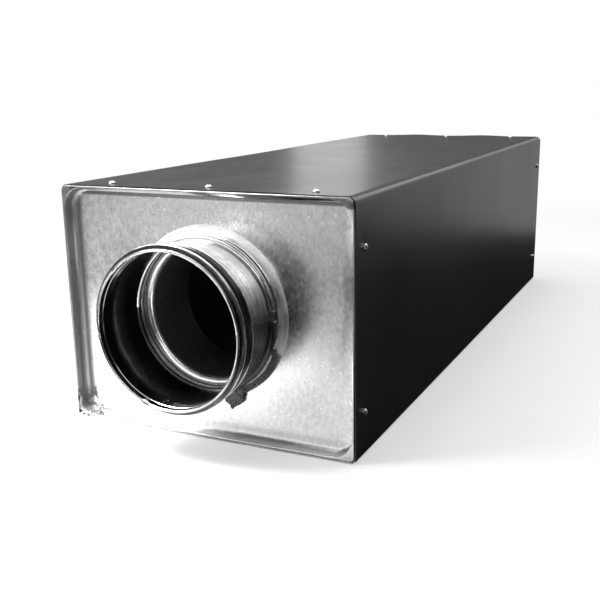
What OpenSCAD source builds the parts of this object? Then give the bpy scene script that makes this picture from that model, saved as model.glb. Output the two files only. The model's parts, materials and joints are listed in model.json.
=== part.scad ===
// Duct sound attenuator: a lined sheet steel box with a round spigot at each end.
// X runs across the width, Y along the air path with the front end at -Y, and Z is up.
// The origin lies on the underside of the base tray, midway between the two ends.

/* [Casing] */
// Width across the painted cover
casing_w = 335; // [310:1:420]
// Height from the underside of the base tray to the top of the cover
casing_h = 260; // [245:1:330]
// Length between the front faces of the two end panel rims
casing_l = 900; // [500:10:1300]
// Sheet thickness of the cover
cover_t = 0.9; // [0.7:0.1:1.5]
// Outer radius of the two long folds of the cover
cover_fold_r = 8; // [5:0.5:10]
// How far the panel rims stand proud of the ends of the cover
rim_proud = 1.5; // [0.5:0.1:1.9]
// Sheet thickness of the base tray
base_t = 1.5; // [1:0.1:2]
// Outer radius of the long folds of the base tray
base_fold_r = 2.5; // [2.2:0.1:4]
// Height of the upturned sides of the base tray
base_side_h = 30; // [15:1:45]
// Gap between the upturned sides of the base tray and the flanges of the end panels
base_side_gap = 1; // [0.5:0.5:10]
// Clearance between sheets that nest in each other
sheet_fit = 0.1; // [0.05:0.05:0.3]

/* [End panels] */
// Sheet thickness of the end panels
panel_t = 0.9; // [0.7:0.1:1.1]
// Outer radius of the two bends that form the rim
rim_bend_r = 1.2; // [1.1:0.1:3]
// Width of the flat land between the two bends of the rim
rim_land = 0.2; // [0.2:0.1:4]
// Depth of the pressed field behind the rim
field_depth = 15; // [10:0.5:18]
// Radius of the fillet between the dish wall and the field
dish_fillet_r = 5.2; // [3:0.1:10]
// Radius of the corners of the dish, seen from the front
dish_corner_r = 22; // [12:0.5:30]
// Length of the flange that is turned back inside the cover
flange_l = 38; // [32:1:60]

/* [Spigots] */
// Outside diameter of the straight wall, for a flexible duct of one size up
spigot_d = 158; // [156:0.5:160]
// How far the spigot stands in front of the panel rim
spigot_reach = 66.5; // [60:0.5:110]
// Height of the spigot axis above the underside
spigot_z = 132.5; // [122:0.5:145]
// Sheet thickness of the spigot
spigot_t = 0.8; // [0.6:0.1:1]
// Outer radius of the hem rolled in at the front edge
hem_r = 1.6; // [1.3:0.05:1.8]
// Length of the hem
hem_l = 6.5; // [5:0.5:6.5]
// How far the hem stands out from the straight wall
hem_rise = 1.4; // [0.5:0.1:2]
// Where the first ridge rises behind the hem, from the front edge
ridge_at = 4.6; // [4.2:0.1:5.5]
// Radius of the round crest of the first ridge, in front of the seal seat
ridge_r = 2; // [1.8:0.1:2.4]
// Height of the first ridge above the straight wall
ridge_h = 5.4; // [4:0.1:6]
// Width of the seal seat between the two ridges
seat_w = 10; // [8:0.5:14]
// Radius of the second ridge, behind the seal seat
back_ridge_r = 5; // [4.8:0.1:6]
// Height of the second ridge above the straight wall
back_ridge_h = 3.9; // [3:0.1:4]
// Width of the stop bead that the duct runs up against
bead_w = 8.5; // [8:0.5:13]
// Height of the stop bead above the straight wall
bead_h = 4; // [3:0.5:6]
// Width of the straight neck between the stop bead and the fillet of the flange
neck_w = 3; // [0.5:0.5:8]
// Radius of the fillet between the spigot and its flange
spigot_fillet_r = 3; // [2:0.5:4]
// Width of the flange that lies on the end panel, from the straight wall outwards
spigot_flange_w = 12; // [9:0.5:21]

/* [Seals] */
// Gap between the rubber seal and the metal of its seat
seal_fit = 0.1; // [0.05:0.05:0.3]
// How far the lips of the seal stand out from the straight wall
seal_h = 3; // [2:0.1:3.6]
// Thickness of the flat foot of the seal
seal_foot_t = 1.2; // [0.5:0.1:1.5]

/* [Lining] */
// Thickness of the slabs along the four sides of the chamber
slab_t = 50; // [30:1:55]
// Distance from the rim to the inner face of the slab behind an end panel
end_slab_at = 87; // [50:1:150]
// Radius of the corners of the slabs behind the end panels
end_slab_corner_r = 10; // [10:1:30]
// How far the inside of the throat lies within the straight wall of the spigot
throat_step = 9; // [8:0.5:19]
// Sheet thickness of the throat liner
liner_t = 0.8; // [0.6:0.1:1]
// Radius of the round mouth of the throat liner
mouth_r = 6; // [4:0.5:6.5]
// Width of the flat edge with which the mouth rests on the end panel
mouth_edge_w = 2.2; // [1:0.1:2.5]
// Clearance around the mouth in the hole of the end panel
mouth_fit = 0.3; // [0.1:0.1:0.5]
// Width of the lip that the liner turns over the inner face of the slab
liner_lip_w = 3; // [2:0.5:4]
// Gap that soft slabs keep from folded sheet and from the throat liners
slab_fit = 0.3; // [0.2:0.1:1]

/* [Screws] */
// Diameter of the screw shank
screw_d = 4.2; // [3.5:0.1:4.8]
// Length of the screw under its head
screw_l = 13; // [9:0.5:16]
// Length of the drill tip
screw_tip_l = 4; // [2:0.5:5]
// Diameter of the screw head
screw_head_d = 7.6; // [6:0.1:9]
// Height of the screw head
screw_head_h = 2.8; // [2:0.1:3.5]
// Height of the straight rim of the screw head, below its dome
screw_rim_h = 0.9; // [0.4:0.1:1.2]
// Width of the arms of the cross recess
cross_arm_w = 1.1; // [0.8:0.1:1.4]
// Length of the cross recess from tip to tip
cross_l = 4.4; // [3:0.1:5]
// Depth of the cross recess
cross_depth = 1.5; // [0.8:0.1:1.8]
// Clearance around the screw shank in sheet metal
screw_fit = 0.1; // [0.05:0.05:0.3]
// Distance of the screws from the panel rim
screw_inset = 24; // [14:0.5:30]
// Distance between neighbouring screws on the top
top_screw_pitch = 118; // [80:1:140]
// Distance between the two screws on a side
side_screw_pitch = 164; // [100:1:190]
// Height of the middle of the side screws above the underside
side_screw_z = 128; // [115:1:145]

/* [Hidden] */
$fn = 96;

arc_steps = 8;
cut_over = 1;
half_turn = 180;
three_quarter_turn = 270;

paint = "#2b2b2d";
zinc = "#c3c7c9";
rubber = "#1a1a1b";
fleece = "#222224";
screw_zinc = "#d8dadb";

// Inner faces of the casing sheets
cover_in_w = casing_w - 2 * cover_t;
cover_in_r = cover_fold_r - cover_t;
cover_in_top = casing_h - cover_t;
cover_foot_z = base_fold_r;

// The base tray nests inside the sides of the cover
base_w = cover_in_w - 2 * sheet_fit;
base_side_l = casing_l - 2 * (flange_l + base_side_gap);

// Envelope of an end panel: half sizes, corner radius and centre height
panel_a = cover_in_w / 2 - sheet_fit;
panel_top = cover_in_top - sheet_fit;
panel_foot = base_t + sheet_fit;
panel_b = (panel_top - panel_foot) / 2;
panel_z = (panel_top + panel_foot) / 2;
panel_corner_r = cover_in_r - sheet_fit;
dish_r = min(dish_fillet_r, field_depth - rim_bend_r);
dish_inset = rim_bend_r + rim_land;
dish_outer_r = dish_corner_r + rim_bend_r;
field_inset = dish_inset + rim_bend_r + dish_r;
field_corner_r = dish_corner_r - dish_r;
panel_back = field_depth + panel_t;

// Spigot stations, measured back from its front edge
spigot_r = spigot_d / 2;
hem_out_r = spigot_r + hem_rise;
spigot_flange_r = spigot_r + spigot_flange_w;
spigot_l = spigot_reach + field_depth;
flange_face = spigot_l - spigot_t;
fillet_start = flange_face - spigot_fillet_r;
bead_at = fillet_start - neck_w - bead_w / 2;
bead_r = (pow(bead_w / 2, 2) + pow(bead_h, 2)) / (2 * bead_h);
bead_centre_r = spigot_r + bead_h - bead_r;
seat_at = ridge_at + 2 * ridge_r;
seat_end = seat_at + seat_w;
back_ridge_at = seat_end + sqrt(pow(back_ridge_r, 2) - pow(back_ridge_r - back_ridge_h, 2));

// Lining
slab_half_w = panel_a - base_fold_r;
top_slab_w = casing_w - 2 * cover_fold_r;
slab_l = casing_l - 2 * end_slab_at;
chamber_low = base_t + slab_t;
chamber_high = cover_in_top - slab_t;
end_slab_low = panel_foot + panel_t + slab_fit;
end_slab_high = panel_top - panel_t - slab_fit;
end_slab_b = (end_slab_high - end_slab_low) / 2;
end_slab_z = (end_slab_high + end_slab_low) / 2;
throat_r = spigot_r - throat_step;
liner_r = throat_r + liner_t;
mouth_centre_r = throat_r + mouth_r;
mouth_face = field_depth - liner_t;
mouth_end = mouth_face + mouth_r;
air_hole_r = mouth_centre_r + mouth_fit;

screw_relief_r = screw_d / 2 + slab_fit;
screw_hole_r = screw_d / 2 + screw_fit;

// Points of an arc about (x, y), from angle a0 to angle a1
function arc(x, y, r, a0, a1) = [
    for (i = [0 : arc_steps])
        let (a = a0 + (a1 - a0) * i / arc_steps)
            [x + r * cos(a), y + r * sin(a)]
];

// The same points in the other order
function turned(points) = [
    for (i = [len(points) - 1 : -1 : 0])
        points[i]
];

// Points over the first ridge, in the outer skin or in one that lies inset below it
function front_ridge(inset) = concat(
    [[hem_out_r - inset, ridge_at + inset]],
    arc(spigot_r + ridge_h - ridge_r, ridge_at + ridge_r, ridge_r - inset, -90, 90),
    [[spigot_r - inset, seat_at - inset]]
);

// Points over the second ridge, whose arc starts and ends on the wall
function back_ridge(inset) =
    let (r = back_ridge_r - inset, half = acos((r - back_ridge_h) / r))
        arc(spigot_r + back_ridge_h - back_ridge_r, back_ridge_at, r, -half, half);

// Half angle that the bead's arc spans where it meets a wall of radius wall_r
function bead_angle(wall_r, r) = acos((wall_r - bead_centre_r) / r);

// Everything on the front end sits in the front frame; the rear end is turned half round
module at_rear() {
    rotate([0, 0, half_turn])
        children();
}

// Turns a form drawn with +Z outwards so that it faces the front, standing on the rim plane
module on_front(z = 0) {
    translate([0, -casing_l / 2, z])
        rotate([90, 0, 0])
            children();
}

// Turns a form revolved about Z, with Z running inwards, onto the axis of the front spigot
module on_front_axis(start) {
    translate([0, -casing_l / 2 + start, spigot_z])
        rotate([-90, 0, 0])
            children();
}

// Sweeps a profile, drawn with its outer face on x = 0, round a rectangle with round corners
module ring_sweep(a, b, corner_r) {
    for (turn = [0, half_turn]) {
        rotate([0, 0, turn])
            translate([a, 0, 0])
                rotate([90, 0, 0])
                    linear_extrude(2 * (b - corner_r), center = true)
                        children();
        rotate([0, 0, turn + 90])
            translate([b, 0, 0])
                rotate([90, 0, 0])
                    linear_extrude(2 * (a - corner_r), center = true)
                        children();
    }
    for (side = [1, -1]) {
        translate([side * (a - corner_r), side * (b - corner_r), 0])
            rotate([0, 0, side > 0 ? 0 : half_turn])
                rotate_extrude(angle = 90)
                    translate([corner_r, 0])
                        children();
        translate([-side * (a - corner_r), side * (b - corner_r), 0])
            rotate([0, 0, side > 0 ? 90 : three_quarter_turn])
                rotate_extrude(angle = 90)
                    translate([corner_r, 0])
                        children();
    }
}

// Flat plate with round corners, its front face at z = 0
module round_plate(a, b, corner_r, t) {
    ring_sweep(a, b, corner_r)
        translate([-corner_r, -t])
            square([corner_r, t]);
    translate([corner_r - a, corner_r - b, -t])
        cube([2 * (a - corner_r), 2 * (b - corner_r), t]);
}

// Section of a U of sheet metal, open downwards, with its foot at y = 0
module folded_u(w, h, fold_r, t) {
    outer = concat(
        [[w / 2, 0]],
        arc(w / 2 - fold_r, h - fold_r, fold_r, 0, 90),
        arc(fold_r - w / 2, h - fold_r, fold_r, 90, half_turn),
        [[-w / 2, 0]]
    );
    inner = concat(
        [[t - w / 2, 0]],
        arc(fold_r - w / 2, h - fold_r, fold_r - t, half_turn, 90),
        arc(w / 2 - fold_r, h - fold_r, fold_r - t, 90, 0),
        [[w / 2 - t, 0]]
    );
    polygon(concat(outer, inner));
}

// Screw stations on the front end, each with +Z pointing out of the cover
module at_top_screws() {
    for (i = [-1 : 1])
        translate([i * top_screw_pitch, screw_inset - casing_l / 2, casing_h])
            children();
}

module at_right_screws() {
    for (side = [-1, 1])
        translate([casing_w / 2, screw_inset - casing_l / 2, side_screw_z + side * side_screw_pitch / 2])
            rotate([0, 90, 0])
                children();
}

module at_left_screws() {
    mirror([1, 0, 0])
        at_right_screws()
            children();
}

module at_front_screws() {
    at_top_screws()
        children();
    at_right_screws()
        children();
    at_left_screws()
        children();
}

// Hole along a screw axis, long enough for the shank
module screw_bore(r) {
    translate([0, 0, -screw_l - cut_over])
        cylinder(r = r, h = screw_l + 2 * cut_over);
}

// Pan head screw with a cross recess and a drill tip, its head seated at z = 0
module screw() {
    head_r = screw_head_d / 2;
    dome_h = screw_head_h - screw_rim_h;
    dome_r = (head_r * head_r + dome_h * dome_h) / (2 * dome_h);
    dome_angle = acos((dome_r - dome_h) / dome_r);
    difference() {
        rotate_extrude()
            polygon(concat(
                [[0, 0], [head_r, 0]],
                arc(0, screw_head_h - dome_r, dome_r, 90 - dome_angle, 90)
            ));
        for (turn = [0, 90])
            rotate([0, 0, turn])
                translate([-cross_l / 2, -cross_arm_w / 2, screw_head_h - cross_depth])
                    cube([cross_l, cross_arm_w, cross_depth + cut_over]);
    }
    translate([0, 0, -(screw_l - screw_tip_l)])
        cylinder(d = screw_d, h = screw_l - screw_tip_l);
    translate([0, 0, -screw_l])
        cylinder(d1 = 0, d2 = screw_d, h = screw_tip_l);
}

// Painted cover: one sheet folded over the top and down both sides
module casing_cover() {
    cover_l = casing_l - 2 * rim_proud;
    color(paint)
        difference() {
            translate([0, cover_l / 2, cover_foot_z])
                rotate([90, 0, 0])
                    linear_extrude(cover_l)
                        folded_u(casing_w, casing_h - cover_foot_z, cover_fold_r, cover_t);
            at_front_screws()
                screw_bore(screw_hole_r);
            at_rear()
                at_front_screws()
                    screw_bore(screw_hole_r);
        }
}

// Galvanised base tray: a flat floor whose long sides turn up between the two end flanges
module casing_base() {
    floor_w = base_w - 2 * base_fold_r;
    color(zinc) {
        translate([0, base_side_l / 2, base_side_h])
            mirror([0, 0, 1])
                rotate([90, 0, 0])
                    linear_extrude(base_side_l)
                        folded_u(base_w, base_side_h, base_fold_r, base_t);
        translate([-floor_w / 2, -casing_l / 2, 0])
            cube([floor_w, casing_l, base_t]);
    }
}

// Pressed end panel: flange, rolled rim and dish are swept round it, and the field closes it
module end_panel() {
    flange_profile = concat(
        [[0, -flange_l]],
        arc(-rim_bend_r, -rim_bend_r, rim_bend_r, 0, 90),
        arc(-rim_bend_r, -rim_bend_r, rim_bend_r - panel_t, 90, 0),
        [[-panel_t, -flange_l]]
    );
    dish_profile = concat(
        arc(0, -rim_bend_r, rim_bend_r, 90, half_turn),
        arc(-rim_bend_r - dish_r, dish_r - field_depth, dish_r, 0, -90),
        arc(-rim_bend_r - dish_r, dish_r - field_depth, dish_r + panel_t, -90, 0),
        arc(0, -rim_bend_r, rim_bend_r - panel_t, half_turn, 90)
    );
    color(zinc)
        difference() {
            on_front(panel_z)
                union() {
                    ring_sweep(panel_a, panel_b, panel_corner_r)
                        polygon(flange_profile);
                    difference() {
                        round_plate(
                            panel_a - rim_bend_r, panel_b - rim_bend_r,
                            panel_corner_r - rim_bend_r, panel_t
                        );
                        translate([0, 0, cut_over])
                            round_plate(
                                panel_a - dish_inset, panel_b - dish_inset,
                                dish_outer_r, panel_t + 2 * cut_over
                            );
                    }
                    ring_sweep(panel_a - dish_inset, panel_b - dish_inset, dish_outer_r)
                        polygon(dish_profile);
                    translate([0, 0, -field_depth])
                        round_plate(
                            panel_a - field_inset, panel_b - field_inset,
                            field_corner_r, panel_t
                        );
                }
            on_front_axis(0)
                cylinder(r = air_hole_r, h = panel_back + cut_over);
            at_front_screws()
                screw_bore(screw_hole_r);
        }
}

// Spigot section: hem, first ridge, seal seat, second ridge, straight wall, stop bead and flange
module collar_section() {
    skin_r = spigot_r - spigot_t;
    hem_centre_r = hem_out_r - hem_r;
    outer_bead = bead_angle(spigot_r, bead_r);
    inner_bead = bead_angle(skin_r, bead_r - spigot_t);
    outer = concat(
        [[hem_out_r - 2 * hem_r, hem_l]],
        arc(hem_centre_r, hem_r, hem_r, half_turn, 2 * half_turn),
        front_ridge(0),
        back_ridge(0),
        arc(bead_centre_r, bead_at, bead_r, -outer_bead, outer_bead),
        arc(spigot_r + spigot_fillet_r, fillet_start, spigot_fillet_r, half_turn, 90),
        [[spigot_flange_r, flange_face]]
    );
    inner = concat(
        [[spigot_flange_r, spigot_l]],
        arc(spigot_r + spigot_fillet_r, fillet_start, spigot_fillet_r + spigot_t, 90, half_turn),
        arc(bead_centre_r, bead_at, bead_r - spigot_t, inner_bead, -inner_bead),
        turned(back_ridge(spigot_t)),
        turned(front_ridge(spigot_t)),
        arc(hem_centre_r, hem_r, hem_r - spigot_t, 2 * half_turn, half_turn),
        [[hem_out_r - 2 * hem_r + spigot_t, hem_l]]
    );
    polygon(concat(outer, inner));
}

// Rolled spigot, its flange flat on the field of the end panel
module collar() {
    color(zinc)
        on_front_axis(-spigot_reach)
            rotate_extrude()
                collar_section();
}

// Rubber seal: a flat foot in the seat with two lips that lean towards the stop bead
module seal() {
    foot_r = spigot_r + seal_fit;
    lip_r = spigot_r + seal_h;
    start = seat_at + seal_fit;
    end = seat_end - seal_fit;
    lip_pitch = (end - start) / 2;
    lip_slope_w = lip_pitch / 2;
    lip_crest_w = lip_pitch / 4;
    top_r = foot_r + seal_foot_t;
    lips = [
        for (at = [start, start + lip_pitch])
            each [[top_r, at], [lip_r, at + lip_slope_w], [lip_r, at + lip_slope_w + lip_crest_w]]
    ];
    color(rubber)
        on_front_axis(-spigot_reach)
            rotate_extrude()
                polygon(concat([[foot_r, start]], lips, [[top_r, end], [foot_r, end]]));
}

// Throat liner: a sheet sleeve with a round mouth on the panel and a lip over the end slab
module throat_liner() {
    lip_r = liner_r + liner_lip_w;
    edge_r = mouth_centre_r + mouth_edge_w;
    color(zinc)
        on_front_axis(0)
            rotate_extrude()
                polygon(concat(
                    [[edge_r, mouth_face]],
                    arc(mouth_centre_r, mouth_end, mouth_r, three_quarter_turn, half_turn),
                    [
                        [throat_r, end_slab_at + liner_t],
                        [lip_r, end_slab_at + liner_t],
                        [lip_r, end_slab_at],
                        [liner_r, end_slab_at]
                    ],
                    arc(mouth_centre_r, mouth_end, mouth_r - liner_t, half_turn, three_quarter_turn),
                    [[edge_r, field_depth]]
                ));
}

// Slab behind an end panel, with its throat and the reliefs that the screws press into it
module end_absorber() {
    color(fleece)
        difference() {
            on_front(end_slab_z)
                translate([0, 0, -panel_back])
                    round_plate(slab_half_w, end_slab_b, end_slab_corner_r, end_slab_at - panel_back);
            on_front_axis(0)
                cylinder(r = liner_r + slab_fit, h = end_slab_at + cut_over);
            on_front_axis(0)
                cylinder(r = air_hole_r, h = mouth_end + slab_fit);
            at_front_screws()
                screw_bore(screw_relief_r);
        }
}

module front_end_panel() { end_panel(); }
module rear_end_panel() { at_rear() end_panel(); }
module front_collar() { collar(); }
module rear_collar() { at_rear() collar(); }
module front_seal() { seal(); }
module rear_seal() { at_rear() seal(); }
module front_throat_liner() { throat_liner(); }
module rear_throat_liner() { at_rear() throat_liner(); }
module front_absorber() { end_absorber(); }
module rear_absorber() { at_rear() end_absorber(); }

// Slabs along the chamber, between the two end slabs
module top_absorber() {
    color(fleece)
        translate([-top_slab_w / 2, -slab_l / 2, chamber_high])
            cube([top_slab_w, slab_l, slab_t]);
}

module bottom_absorber() {
    color(fleece)
        translate([-slab_half_w, -slab_l / 2, base_t])
            cube([2 * slab_half_w, slab_l, slab_t]);
}

module right_absorber() {
    color(fleece)
        translate([slab_half_w - slab_t, -slab_l / 2, chamber_low])
            cube([slab_t, slab_l, chamber_high - chamber_low]);
}

module left_absorber() {
    mirror([1, 0, 0])
        right_absorber();
}

module front_top_screws() { color(screw_zinc) at_top_screws() screw(); }
module front_left_screws() { color(screw_zinc) at_left_screws() screw(); }
module front_right_screws() { color(screw_zinc) at_right_screws() screw(); }
module rear_top_screws() { at_rear() front_top_screws(); }
module rear_left_screws() { at_rear() front_right_screws(); }
module rear_right_screws() { at_rear() front_left_screws(); }

casing_cover();
casing_base();
front_end_panel();
rear_end_panel();
front_collar();
rear_collar();
front_seal();
rear_seal();
front_throat_liner();
rear_throat_liner();
front_absorber();
rear_absorber();
top_absorber();
bottom_absorber();
left_absorber();
right_absorber();
front_top_screws();
front_left_screws();
front_right_screws();
rear_top_screws();
rear_left_screws();
rear_right_screws();
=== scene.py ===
# %% [markdown]
# # A duct sound attenuator, dressed in Blender
# The object is a lined steel box that sits in a ventilation duct and swallows fan noise. A dark
# painted cover is folded over a bare galvanised tray, a pressed galvanised panel closes each end,
# and a rolled spigot on each panel takes the round duct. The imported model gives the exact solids.
# This lesson loads them as a fixed frame, models the sheet metal as it looks after handling, and
# mixes the finishes.

# %% Load the frame
import json
import math

import bpy
from mathutils import Matrix, Vector


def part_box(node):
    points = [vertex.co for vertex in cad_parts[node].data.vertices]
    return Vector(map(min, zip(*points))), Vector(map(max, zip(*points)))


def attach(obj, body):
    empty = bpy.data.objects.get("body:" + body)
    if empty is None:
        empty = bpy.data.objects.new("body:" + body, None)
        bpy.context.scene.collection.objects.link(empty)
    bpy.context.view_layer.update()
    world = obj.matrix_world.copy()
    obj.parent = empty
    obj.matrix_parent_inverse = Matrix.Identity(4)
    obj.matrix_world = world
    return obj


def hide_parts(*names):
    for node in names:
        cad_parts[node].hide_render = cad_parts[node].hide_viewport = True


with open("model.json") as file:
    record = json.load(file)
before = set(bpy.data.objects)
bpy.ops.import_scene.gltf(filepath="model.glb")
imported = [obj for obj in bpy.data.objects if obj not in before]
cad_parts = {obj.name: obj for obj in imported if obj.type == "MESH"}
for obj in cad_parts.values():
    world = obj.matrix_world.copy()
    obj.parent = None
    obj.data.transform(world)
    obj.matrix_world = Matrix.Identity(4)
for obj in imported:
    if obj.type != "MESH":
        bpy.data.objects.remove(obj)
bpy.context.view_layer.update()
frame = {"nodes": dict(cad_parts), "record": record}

# %% [markdown]
# ## Sizes read from the frame
# Every piece sits where the solids are, so the few sizes that the lesson needs are read from the
# boxes of the solids and from the record of the mounts. Only the radius of the straight spigot wall
# stands in neither, so it is written down. Lengths are in metres, and in millimetres where a name
# ends in mm or a cell says so. X runs across the box, Y from the front end to the rear end, Z is up.

# %% Read the sizes
MM = 0.001

cover_low, cover_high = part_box("casing_cover")
panel_low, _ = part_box("front_end_panel")
collar_low, collar_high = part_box("front_collar")

casing_w = cover_high.x - cover_low.x
casing_h = cover_high.z
rim_y = panel_low.y
edge_y = collar_low.y
field_y = collar_high.y
spigot_mount = next(m for m in frame["record"]["mounts"] if m["name"] == "front_spigot")
spigot_mm = 79.0
spigot_z = spigot_mount["pos_m"][2]
flange_mm = collar_high.x / MM
collar_mm = (field_y - edge_y) / MM

print(f"casing {casing_w:.3f} x {casing_h:.3f} m, front rim at y = {rim_y:.4f} m")
print(f"spigot radius {spigot_mm:.1f} mm, its axis {spigot_z:.3f} m above the floor")

# %% [markdown]
# ## The camera
# The photograph looks down a little on the right front corner. A camera fitted to the corners of the
# box gives the place, the turn and the focal length below. The turn is written as yaw, pitch and
# roll, which a person can picture, and a rotation matrix is made from the three axes of the view.

# %% Place the camera
camera_place = Vector((0.4576, -1.1808, 0.3598))
camera_yaw = math.radians(-25.383)
camera_pitch = math.radians(-13.910)
camera_roll = math.radians(-0.853)
frame_px = 600
focal_px = 876.35
sensor_w = 36.0

forward = Vector((
    math.sin(camera_yaw) * math.cos(camera_pitch),
    math.cos(camera_yaw) * math.cos(camera_pitch),
    math.sin(camera_pitch),
))
level_right = Vector((math.cos(camera_yaw), -math.sin(camera_yaw), 0))
level_up = level_right.cross(forward)
view_right = level_right * math.cos(camera_roll) + level_up * math.sin(camera_roll)
view_up = level_up * math.cos(camera_roll) - level_right * math.sin(camera_roll)
view_turn = Matrix((view_right, view_up, -forward)).transposed()

bpy.ops.object.camera_add(location=camera_place, rotation=view_turn.to_euler())
camera = bpy.context.object
camera.name = "photo_camera"
camera.data.sensor_width = sensor_w
camera.data.lens = sensor_w * focal_px / frame_px
bpy.context.scene.camera = camera
bpy.context.scene.view_settings.view_transform = "Standard"
print(f"camera lens {camera.data.lens:.1f} mm")

# %% [markdown]
# ## Shader maths as expressions
# A material is a graph of nodes. Written link by link it is hard to read, so one small class wraps
# an output socket: plus, minus and times add Math nodes, and one method adds any other node with
# its settings first and its sockets after them.

# %% The class that wraps a socket
class Wire:
    """One output of a shader node. Arithmetic on it adds Math nodes to the same tree."""

    def __init__(self, tree, socket=None):
        self.tree = tree
        self.socket = socket

    def node(self, kind, settings, sockets, out=0):
        made = self.tree.nodes.new(kind)
        for name, value in settings.items():
            setattr(made, name, value)
        for name, value in sockets.items():
            if isinstance(value, Wire):
                self.tree.links.new(value.socket, made.inputs[name])
            else:
                made.inputs[name].default_value = value
        return Wire(self.tree, made.outputs[out] if made.outputs else None)

    def maths(self, operation, *values):
        return self.node("ShaderNodeMath", {"operation": operation}, dict(enumerate(values)))

    def __add__(self, other):
        return self.maths("ADD", self, other)

    __radd__ = __add__

    def __sub__(self, other):
        return self.maths("SUBTRACT", self, other)

    def __rsub__(self, other):
        return self.maths("SUBTRACT", other, self)

    def __mul__(self, other):
        return self.maths("MULTIPLY", self, other)

    __rmul__ = __mul__


print("shader maths ready")

# %% [markdown]
# A few functions say in one word what is needed often: a soft step, a band, the largest of some
# values, the axes of a place, a noise and a bump. Colours go through Mix, because a Math node would
# turn them grey. Its colour sockets are known by their numbers, since several share a name.

# %% Words for shader maths
mix_first = 6
mix_second = 7
mix_colour = 2
noise_middle = 0.5


def grey(level):
    """A neutral colour of that linear level."""
    return (level, level, level, 1)


def blend_colours(share, first, second):
    """Mixes two colours: share 0 gives the first, share 1 the second."""
    sockets = {0: share, mix_first: first, mix_second: second}
    return share.node("ShaderNodeMix", {"data_type": "RGBA"}, sockets, out=mix_colour)


def rise(value, low, high):
    """Goes from 0 to 1, without corners, while the value goes from low to high."""
    settings = {"interpolation_type": "SMOOTHSTEP"}
    return value.node("ShaderNodeMapRange", settings, {"Value": value, "From Min": low, "From Max": high})


def beyond(value, start, fade):
    """0 up to a start, and 1 from a fade further on."""
    return rise(value, start, start + fade)


def between(value, low, high, edge):
    """1 between two values and 0 outside them, with soft edges."""
    return rise(value, low - edge, low + edge) * (1 - rise(value, high - edge, high + edge))


def most(*wires):
    """The largest of some values."""
    total = wires[0]
    for wire in wires[1:]:
        total = total.maths("MAXIMUM", total, wire)
    return total


def axes(place):
    """The X, the Y and the Z of a place."""
    parts = place.node("ShaderNodeSeparateXYZ", {}, {0: place}).socket.node.outputs
    return [Wire(place.tree, socket) for socket in parts]


def noise(place, stretch, detail):
    """Soft random values. The stretch, one for all axes or one for each, says how fine they are."""
    if not isinstance(stretch, tuple):
        stretch = (stretch, stretch, stretch)
    spread = place.node("ShaderNodeMapping", {}, {"Vector": place, "Scale": stretch})
    return place.node("ShaderNodeTexNoise", {}, {"Vector": spread, "Scale": 1.0, "Detail": detail})


def swing(random, amount):
    """A noise as an amount to either side of 0."""
    return (random - noise_middle) * amount


def relief(height, strength, depth):
    """The bump that a height makes."""
    return height.node("ShaderNodeBump", {}, {"Height": height, "Strength": strength, "Distance": depth})


def rays(wire, *names):
    """1 for the named kinds of ray, 0 for the others."""
    paths = wire.node("ShaderNodeLightPath", {}, {}).socket.node.outputs
    return most(*(Wire(wire.tree, paths[name]) for name in names))


print("shader words ready")

# %% [markdown]
# ## The stage
# The object stands on a pale floor under soft lamps. The world is white where the camera, metal or
# glass looks at it, and a plain grey light elsewhere.

# %% World
ambient_level = 0.42
looking_rays = ("Is Camera Ray", "Is Glossy Ray", "Is Transmission Ray")

world = bpy.data.worlds.new("white_studio")
bpy.context.scene.world = world
world.use_nodes = True
world.node_tree.nodes.clear()
sky = Wire(world.node_tree)
strength = rays(sky, *looking_rays) * (1 - ambient_level) + ambient_level
background = sky.node("ShaderNodeBackground", {}, {"Color": grey(1), "Strength": strength})
sky.node("ShaderNodeOutputWorld", {}, {"Surface": background})
print("world: white to look at, ambient", ambient_level)

# %% [markdown]
# The floor is a lit white surface near the object, so that it keeps the shadow, and turns into the
# same white as the world further out.

# %% Floor
floor_gap = 0.5 * MM
floor_size = 14
floor_white = 0.92
shadow_veil = 0.5
shadow_reach = 0.7
white_from = 1.7

bpy.ops.mesh.primitive_plane_add(size=floor_size, location=(0, 0, -floor_gap))
floor = bpy.context.object
floor.name = "studio_floor"

floor_paint = bpy.data.materials.new("floor_white")
floor_paint.use_nodes = True
floor_paint.node_tree.nodes.clear()
ground = Wire(floor_paint.node_tree)
coords = ground.node("ShaderNodeTexCoord", {}, {}, out="Object")
distance = ground.node("ShaderNodeVectorMath", {"operation": "LENGTH"}, {0: coords}, out="Value")
fade = rise(distance, shadow_reach, white_from)
veil = most(fade, rays(ground, "Is Camera Ray") * shadow_veil)
lit = ground.node("ShaderNodeBsdfDiffuse", {}, {"Color": grey(floor_white)})
white = ground.node("ShaderNodeEmission", {}, {"Color": grey(1), "Strength": 1.0})
share = veil * rays(ground, *looking_rays)
surface = ground.node("ShaderNodeMixShader", {}, {0: share, 1: lit, 2: white})
ground.node("ShaderNodeOutputMaterial", {}, {"Surface": surface})
floor.data.materials.append(floor_paint)
print("floor", floor_size, "m square")

# %% [markdown]
# Two large soft lamps light the box from the front left and from above. A third, small one lights
# the floor just in front of the left end, because bare metal shows the floor that it stands on.

# %% Lamps
key_power = 40
top_power = 44
pool_power = 3.6
pool_spread = math.radians(70)


def softbox(name, place, aim, size, power):
    """A square area lamp at a place, turned towards the point it lights."""
    turn = (Vector(aim) - Vector(place)).to_track_quat("-Z", "Y").to_euler()
    bpy.ops.object.light_add(type="AREA", location=place, rotation=turn)
    lamp = bpy.context.object
    lamp.name = name
    lamp.data.size = size
    lamp.data.energy = power
    return lamp


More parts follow.
